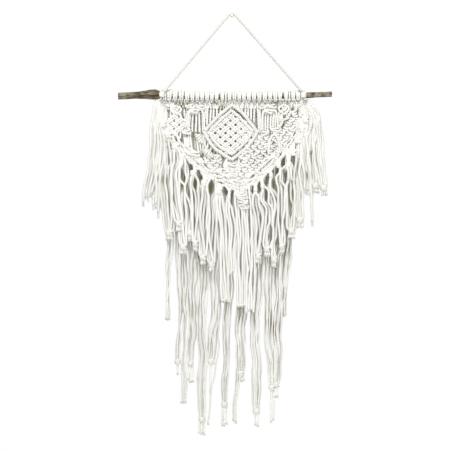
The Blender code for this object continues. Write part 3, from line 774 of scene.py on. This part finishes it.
def bundle(cords, row, number, look, shoulder):
    """Strands that leave a strip side by side, and end in one knot with a tuft."""
    share, count, middle_x, middle_z, end_x, end_z, *under = row
    sway, crossings, pitch, step, ply, radius, swell, tuft_length, openings, layers = look
    tails, drop = under or (count, tuft_length)
    middle = np.array((middle_x, 0.0, middle_z))
    end = np.array((end_x, 0.0, end_z))
    if share in SIDE_STARTS and middle_x > 0:
        sway *= SIDE_SWAY
    shared = bends(cords.rng, sway, SHARED_WAVES)
    order = list(range(count))
    loose = share in LOOSE_ENDS
    gather = 0.85 * pitch if loose else 0.5 * pitch
    uneven = 12 if share in SIDE_STARTS else 4  # how far apart the cut ends hang
    for _ in range(crossings):
        if count > 2 and cords.rng.random() < 0.7:
            swap = cords.rng.randrange(count - 1)
            order[swap], order[swap + 1] = order[swap + 1], order[swap]
    for j in range(count):
        spread = j - (count - 1) / 2
        lower = order[j] - (count - 1) / 2
        y = layers[(number + j) % 2]
        half = middle + (spread * pitch + cords.vary(-1.5, 1.5), y, 0)
        low = middle + (end - middle) * LOW_SHARE
        low += (lower * (0.6 * pitch + 0.4 * gather), y, 0)
        foot = end + (lower * gather, y * 0.5 + sum(layers) * 0.25, KNOT_LENGTH - 4)
        if loose:
            foot += (0, 0, cords.vary(-uneven, uneven) - 4)
            frayed_end(cords, foot, 8, 2 + uneven)
        points = [*shoulder(share, spread, y), half, low, foot]
        own = bends(cords.rng, sway, OWN_WAVES)
        thick = radius * cords.vary(0.86, 1.12)
        # The strands of the side bundles get darker tones at random, as painted shade.
        tone = cords.vary(0.6, 1.6) if share in SIDE_STARTS else None
        line = parted(bent(smooth_line(points, step), step, shared + own), openings, thick)
        looser = 1 + swell * ramp(line[:, 2], FIRM_Z, 120)
        cords.lay(line, thick * looser, ply=ply, tone=tone)
    if loose:
        return
    y = sum(layers) / 2
    # The end knot's tone is set darker, as painted shade.
    wrapped_knot(cords, end_x, y, end_z + 5, 10.5 + 0.24 * pitch * count, 12, 11.5, 1.6)
    tuft(cords, end_x, y, end_z, tails, drop)


def arm(cords, x, z, reach):
    """A cord from the net's edge into a lump, at one side of the gap between two lumps."""
    top = np.array((x + reach, FRONT_EDGE_Y + 2, edge_z(x + reach)))
    foot = np.array((x + 0.3 * reach, FRONT_EDGE_Y - 1, min(z, top[2] - 4)))
    half = (top + foot) / 2 + (0.12 * reach, -2.5, 0)
    line = parted(smooth_line([top, half, foot]), GAPS, 2.6)
    cords.lay(line, 2.6, ply=PLY_FINE)


def front_fringe(weave):
    """The front layer, in two halves that meet under the tip of the net."""
    edge = smooth_line([(x, FRONT_EDGE_Y, z) for x, z in FRONT_EDGE], 2.0)

    def shoulder(share, spread, y):
        if share in SIDE_STARTS:
            for x, z in SIDE_STARTS[share]:
                out = math.copysign(1, x)
                y = FRONT_EDGE_Y + 3 * (z > -200)
                yield np.array((x + spread * 3, y, z + out * spread))
            return
        root = at_share(edge, share)
        near = min(LUMPS, key=lambda lump: abs(lump[0] - root[0]))
        if abs(near[0] - root[0]) < LUMP_REACH:
            lump = np.array((near[0], FRONT_EDGE_Y - 1.5, near[1]))
            low = -0.35 * near[3]
            yield lump + (spread * 2.6, 1, 3)
            yield lump + (spread * 3.6, 0, low)
            yield lump + (spread * 5.4, y - FRONT_EDGE_Y, low - 10)
            yield lump + (spread * 6.2, y - FRONT_EDGE_Y, low - 26)
        else:
            yield root + (spread * 4.5, 1.5, 3)
            yield root + (spread * 5.5, -3.5, -1)
            yield root + (spread * 6.2, y - FRONT_EDGE_Y, -12)

    for half, cords in layer(weave, "fringe_front", FRONT_BUNDLES, 0.5, shoulder):
        for x, z, width, height in LUMPS:
            if (x < 10) == (half == "left"):
                wrapped_knot(cords, x, FRONT_EDGE_Y - 1.5, z, width, height, 11)
                for reach in ARMS:
                    arm(cords, x, z, reach)
        if half == "right":
            for knot in SINNET:
                square_knot(cords, *knot, FRONT_EDGE_Y - 3.5)
        strip = [(x, z) for x, z in FRONT_EDGE[2:-2] if (x <= 14 if half == "left" else x >= 14)]
        hitched_bar(cords, 3.6, dipped(strip), FRONT_EDGE_Y + 1, sway=1.3)


def dipped(strip):
    """The strip's points, drawn down at the lumps and up at the gaps between them."""
    line = smooth_line([(x, 0.0, z) for x, z in strip], 6.0)
    for x, _, width, _ in LUMPS:
        line[:, 2] -= 3.2 * np.exp(-(((line[:, 0] - x) / (0.6 * width)) ** 2))
    for x, z, half_width, _ in GAPS:
        close = np.abs(np.interp(x, line[:, 0], line[:, 2]) - z) < 25
        line[:, 2] += 3.2 * close * np.exp(-(((line[:, 0] - x) / (1.2 * half_width)) ** 2))
    return [(x, z) for x, _, z in line]


def back_fringe(weave):
    """The longer layer, behind the net, and the cord that it is hitched to."""
    edge = smooth_line([(x, BACK_EDGE_Y, z) for x, z in BACK_EDGE], 2.0)
    span = run_along(edge)[-1]

    def shoulder(share, spread, y):
        place = at_share(edge, share + spread * SPREAD_ROOT / span)
        yield place + (0, 0, 1.5)
        yield place + (0, y - BACK_EDGE_Y, -12)
        yield place + (0, y - BACK_EDGE_Y, -150)

    for half, cords in layer(weave, "fringe_back", BACK_BUNDLES, 0.45, shoulder):
        if half == "left":
            middle, radial, _ = wound(edge, round(span / HITCH), 12)
            cords.lay(middle + radial * 1.5, 2.2, press=0.6, out=radial, turn=11.0)


# == Net ==


def heading(cords):
    for x in HEADS:
        larks_head(cords, x)
    for x in SINGLE_TURNS:
        single_turn(cords, x)


def diamond(cords):
    for radius, *corners in BARS[:DIAMOND_BARS]:
        hitched_bar(cords, radius, pairs(corners), hitch=FINE_HITCH)
    lattice(cords, *LATTICE)


def net(cords):
    for radius, *corners in BARS[DIAMOND_BARS:]:
        hitched_bar(cords, radius, pairs(corners), NET_Y - 0.5, sway=1.5)
    for radius, y, *corners in ROLLED_KNOTS:
        hitched_bar(cords, radius, pairs(corners), y, hitch=5.0)
    for ahead, *points in LOOPS:
        points = [(x, NET_Y - ahead, z) for x, z in pairs(points)]
        cords.lay(smooth_line(points), 2.5, ply=PLY_FINE)
    lattice(cords, *CORNER_LATTICE)
    for knot in SQUARE_KNOTS:
        square_knot(cords, *knot, NET_Y - 0.8)
    for count, *ends in RUNS:
        first_top, first_foot, last_top, last_foot = (
            np.array((x, RUN_Y, z)) for x, z in pairs(ends)
        )
        for share in np.linspace(0, 1, count):
            top = first_top + (last_top - first_top) * share
            foot = first_foot + (last_foot - first_foot) * share
            bow = (cords.vary(-0.8, 0.8), cords.vary(-1.5, 0.5), 0)
            cords.lay(smooth_line([top, (top + foot) / 2 + bow, foot]), 2.4, ply=PLY_FINE)


def net_knots(cords):
    for outline in KNOT_MESHES:
        knot_mesh(cords, pairs(outline))
    for row in LEAVES:
        leaf(cords, *row)


# == Hanging cord and its ties ==


def hanging_cord(weave):
    line = smooth_line(HANGER_ROUTE, 1.4)
    cords = weave("hanging_cord", "hanger")
    # The hanging cord's tone is set darker, as painted shade.
    cords.lay(line, CORD_R, ply=(0.6, 0.9, 1.0, 0.9), turn=19.0, tone=2.4)
    return line


def tie(weave, name, first_x, second_x, knot_x):
    """Two turns round the branch, crossed by a knot in front."""
    cords = weave(name + "_cord", name)
    for x in (first_x, second_x):
        points, _ = round_branch([(0.0, angle, 2.5) for angle in range(0, 361, 30)], x)
        cords.lay(smooth_line(points), 2.2, ply=PLY_FINE)
    middle, radius = branch_at(knot_x)
    wrapped_knot(cords, knot_x, ROD_Y - radius - 5.6, middle[2], 12.5, 11.5, 11)


# == Branch and pin ==


def drawn_out(name, stations, axis, turn):
    """A circle, turned, and drawn out along an axis through stations: each a middle and radius."""
    bpy.ops.object.select_all(action="DESELECT")
    middle, radius = stations[0]
    bpy.ops.mesh.primitive_circle_add(
        vertices=ROUND_SIDES, radius=radius * MM, fill_type="NGON", location=middle * MM,
        rotation=turn,
    )
    piece = bpy.context.object
    piece.name = name
    bpy.ops.object.mode_set(mode="EDIT")
    for ahead, thick in stations[1:]:
        size = [thick / radius] * 3
        size[axis] = 1
        bpy.ops.mesh.extrude_region_move(TRANSFORM_OT_translate={"value": (ahead - middle) * MM})
        bpy.ops.transform.resize(value=size)
        middle, radius = ahead, thick
    bpy.ops.mesh.select_all(action="SELECT")
    bpy.ops.mesh.normals_make_consistent(inside=False)
    bpy.ops.object.mode_set(mode="OBJECT")
    bpy.ops.object.transform_apply(location=True, rotation=True, scale=True)
    return piece


def bare_branch(material):
    """A limb with its bark on, then made uneven."""
    xs = np.arange(BRANCH[0][0], BRANCH[-1][0] + 0.1, BRANCH_STEP)
    branch = drawn_out("bare_branch", [branch_at(x) for x in xs], 0, (0, math.pi / 2, 0))
    for name, size, strength, stretch in (
        ("bends of the limb", 0.045, 0.0026, 1.0),
        ("ridges of bark", 0.006, 0.0011, 5.0),
        ("grain of bark", 0.0022, 0.0005, 7.0),
    ):
        texture = bpy.data.textures.new(name, "CLOUDS")
        texture.noise_scale = size
        bpy.ops.object.empty_add(location=(0, 0, 0))
        guide = bpy.context.object
        guide.scale = (stretch, 1, 1)
        bpy.ops.object.select_all(action="DESELECT")
        bpy.context.view_layer.objects.active = branch
        branch.select_set(True)
        uneven = branch.modifiers.new(name, "DISPLACE")
        uneven.texture = texture
        uneven.texture_coords = "OBJECT"
        uneven.texture_coords_object = guide
        uneven.strength = strength
        uneven.mid_level = 0.55
        bpy.ops.object.modifier_apply(modifier=uneven.name)
        bpy.data.objects.remove(guide)
    bpy.ops.object.shade_smooth_by_angle(angle=math.radians(50))
    branch.data.materials.append(material)
    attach(branch, "root")
    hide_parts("branch")


def push_pin(material):
    """A turned pin with a rounded head and a flange against the wall."""
    stations = [(np.array((0.0, -away, 0.0)), radius) for away, radius in PIN]
    pin = drawn_out("push_pin", stations, 1, (math.pi / 2, 0, 0))
    rounded = pin.modifiers.new("rounded edges", "BEVEL")
    rounded.width = 0.00025
    rounded.segments = 3
    rounded.limit_method = "ANGLE"
    bpy.ops.object.modifier_apply(modifier=rounded.name)
    bpy.ops.object.shade_smooth_by_angle(angle=math.radians(40))
    pin.data.materials.append(material)
    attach(pin, "root")
    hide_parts("wall_pin")


# == Materials ==


def colour(hex_code):
    """An sRGB hex colour as linear red, green, blue and alpha."""
    values = [int(hex_code[i:i + 2], 16) / 255 for i in (1, 3, 5)]
    return (*[v / 12.92 if v <= 0.04045 else ((v + 0.055) / 1.055) ** 2.4 for v in values], 1.0)


def new_material(name):
    material = bpy.data.materials.new(name)
    material.use_nodes = True
    tree = material.node_tree
    return material, tree, tree.nodes["Principled BSDF"]


def set_inputs(tree, node, inputs):
    """Each input is a name or number with a value, or with a node or socket to link."""
    for name, value in dict(inputs).items():
        if isinstance(value, bpy.types.Node):
            value = next(socket for socket in value.outputs if socket.enabled)
        if isinstance(value, bpy.types.NodeSocket):
            tree.links.new(value, node.inputs[name])
        else:
            node.inputs[name].default_value = value


def add_node(tree, kind, inputs=(), **settings):
    """A shader node with its settings and inputs."""
    node = tree.nodes.new("ShaderNode" + kind)
    for name, value in settings.items():
        setattr(node, name, value)
    set_inputs(tree, node, inputs)
    return node


def maths(tree, operation, *values):
    return add_node(tree, "Math", enumerate(values), operation=operation)


def noise(tree, at, scale, detail=2.0, roughness=0.5):
    inputs = {"Vector": at, "Scale": scale, "Detail": detail, "Roughness": roughness}
    return add_node(tree, "TexNoise", inputs)


def mixed(tree, share, first, second, way="MIX"):
    inputs = {"Factor": share, "A": first, "B": second}
    return add_node(tree, "Mix", inputs, data_type="RGBA", blend_type=way)


def colour_ramp(tree, value, *stops):
    """Colours for a value, from stops of a position and a hex colour."""
    node = add_node(tree, "ValToRGB", {"Fac": value})
    elements = node.color_ramp.elements
    for position, code in stops:
        elements.new(position).color = colour(code)
    elements.remove(elements[0])
    elements.remove(elements[-1])
    return node


def surface(tree, shader, base, bumps, roughness, **others):
    """What the shader shows: its colour, its bumps as height, strength and distance, its shine."""
    bump = add_node(tree, "Bump", zip(("Height", "Strength", "Distance"), bumps))
    set_inputs(tree, shader, {"Base Color": base, "Normal": bump, "Roughness": roughness})
    set_inputs(tree, shader, others)


def cotton_cord():
    """Natural cotton, three plies laid up: matt, slightly warm, with painted shade where the plies
    meet.
    """
    material, tree, shader = new_material("natural cotton cord")
    marks = add_node(tree, "UVMap", uv_map="cord")
    place = add_node(tree, "TexCoord").outputs["Object"]
    tone = add_node(tree, "Attribute", attribute_name="tone").outputs["Fac"]
    hollow_shade = add_node(tree, "Attribute", attribute_name="hollow_shade").outputs["Fac"]
    # A ply is one unit of u: its middle is at a half.
    ply = maths(tree, "FRACT", add_node(tree, "SeparateXYZ", {"Vector": marks}))
    edge = maths(tree, "ABSOLUTE", maths(tree, "SUBTRACT", ply, 0.5))
    # Painted shade in the grooves where the plies meet.
    groove_shade = add_node(
        tree, "MapRange", {"Value": edge, "From Min": 0.3, "From Max": 0.5},
        interpolation_type="SMOOTHSTEP",
    )
    # Threads lie along the cord, about 0.4 mm apart, and mottle over 8 mm.
    threads_at = add_node(tree, "Mapping", {"Vector": marks, "Scale": (9.0, 0.35, 1.0)})
    threads = noise(tree, threads_at, 1.0, 3.0, 0.6)
    mottle = noise(tree, place, 125.0)
    # Painted groove shade, mixed with the threads, mottle and tone that the cotton has.
    shade = 0.0
    for part, weight in ((groove_shade, 0.34), (threads, 0.30), (mottle, 0.18), (tone, 0.12)):
        shade = maths(tree, "MULTIPLY_ADD", part, weight, shade)
    cotton = colour_ramp(tree, shade, (0.18, "#f0f0ed"), (0.9, "#b4b3a6"))
    # Painted shade: in the hollows the cotton is darkened to grey-olive.
    shade_colour = mixed(tree, hollow_shade, (1, 1, 1, 1), colour("#a6a187"))
    shaded_cotton = mixed(tree, 1.0, cotton, shade_colour, "MULTIPLY")
    height = maths(tree, "ADD", threads, mottle)
    surface(tree, shader, shaded_cotton, (height, 0.55, 0.0006), 0.93, **{
        "Specular IOR Level": 0.2, "Sheen Weight": 0.12, "Sheen Roughness": 0.5,
    })
    return material


def weathered_bark():
    """Thin old bark on a fallen limb: grey-brown ridges along it, with pale patches of lichen."""
    material, tree, shader = new_material("weathered bark")
    place = add_node(tree, "TexCoord").outputs["Object"]
    along = add_node(tree, "Mapping", {"Vector": place, "Scale": (45, 260, 260)})
    ridges = noise(tree, along, 1.0, 5.0, 0.65)
    patches = noise(tree, place, 70.0, 4.0)
    bark = colour_ramp(
        tree, ridges, (0.3, "#241f12"), (0.42, "#3d3622"), (0.55, "#6b6352"), (0.72, "#988e7e")
    )
    spread = add_node(tree, "MapRange", {"Value": patches, "From Min": 0.52, "From Max": 0.66})
    lichen = maths(tree, "MULTIPLY", spread, 0.45)
    patchy = mixed(tree, lichen, bark, colour("#b3ae9a"))
    surface(tree, shader, patchy, (ridges, 0.8, 0.001), 0.86, **{"Specular IOR Level": 0.3})
    return material


def moulded_plastic():
    """White polystyrene pin, moulded: smooth, with the faint ripple of the mould."""
    material, tree, shader = new_material("moulded white plastic")
    ripple = noise(tree, add_node(tree, "TexCoord").outputs["Object"], 900.0)
    surface(tree, shader, colour("#e9e8e4"), (ripple, 0.1, 0.0001), 0.3, IOR=1.59)
    return material


# == Studio ==


def pale_floor():
    """A pale board under the hanging, below the photograph's frame."""
    bpy.ops.object.select_all(action="DESELECT")
    bpy.ops.mesh.primitive_plane_add(size=1, location=(0, -0.9, -0.97))
    floor = bpy.context.object
    floor.name = "pale_floor"
    floor.scale = (3.2, 2.4, 1)
    bpy.ops.object.transform_apply(location=True, rotation=True, scale=True)
    material, tree, shader = new_material("pale floor")
    set_inputs(tree, shader, {"Base Color": colour("#e8e7e3"), "Roughness": 0.8})
    floor.data.materials.append(material)


def soft_light(name, place, size, power):
    """A round white lamp that looks at the middle of the hanging."""
    light = bpy.data.lights.new(name, "AREA")
    light.shape = "DISK"
    light.size = size
    light.energy = power
    lamp = bpy.data.objects.new(name, light)
    lamp.location = place
    lamp.rotation_euler = (Vector(MIDDLE) - Vector(place)).to_track_quat("-Z", "Y").to_euler()
    bpy.context.scene.collection.objects.link(lamp)


def studio():
    """A white room with soft light from above, in front and behind."""
    scene = bpy.context.scene
    scene.view_settings.view_transform = "Standard"
    scene.world = bpy.data.worlds.new("white room")
    scene.world.use_nodes = True
    tree = scene.world.node_tree
    tree.nodes.clear()
    white = (1, 1, 1, 1)
    seen = add_node(tree, "Background", {"Color": white, "Strength": 1.0})
    fill = add_node(tree, "Background", {"Color": white, "Strength": 0.34})
    ray = add_node(tree, "LightPath")
    both = add_node(tree, "MixShader", {0: ray.outputs["Is Camera Ray"], 1: fill, 2: seen})
    add_node(tree, "OutputWorld", {"Surface": both})
    soft_light("key", (-0.3, -1.5, 1.5), 0.7, 45)
    soft_light("front", (0.4, -2.5, -0.4), 1.4, 29)
    soft_light("back", (0.4, 1.8, 0.6), 1.2, 32)


def camera():
    """Straight on, as far away as keeps the frame 900 mm wide at the net."""
    centre_x = (FRAME_PX / 2 - ORIGIN_PX[0]) * PX
    centre_z = (ORIGIN_PX[1] - FRAME_PX / 2) * PX
    data = bpy.data.cameras.new("camera")
    data.sensor_width = SENSOR
    data.lens = SENSOR * (CAMERA_AWAY + NET_Y) / (FRAME_PX * PX)
    eye = bpy.data.objects.new("camera", data)
    eye.location = (centre_x * MM, -CAMERA_AWAY * MM, centre_z * MM)
    eye.rotation_euler = (math.pi / 2, 0, 0)
    bpy.context.scene.collection.objects.link(eye)
    bpy.context.scene.camera = eye


def main():
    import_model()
    camera()
    woven = []

    def weave(name, node):
        woven.append((name, node, Cordage(SEED + len(woven))))
        return woven[-1][2]

    route = hanging_cord(weave)
    for row in TIES:
        tie(weave, *row)
    for make in (heading, diamond, net, net_knots):
        make(weave(make.__name__, "panel"))
    front_fringe(weave)
    back_fringe(weave)
    cotton = cotton_cord()
    fronts = front_surfaces([cords for _, _, cords in woven])
    for name, node, cords in woven:
        cords.piece(name, cotton, node, fronts)
    bare_branch(weathered_bark())
    push_pin(moulded_plastic())
    pale_floor()
    studio()


main()
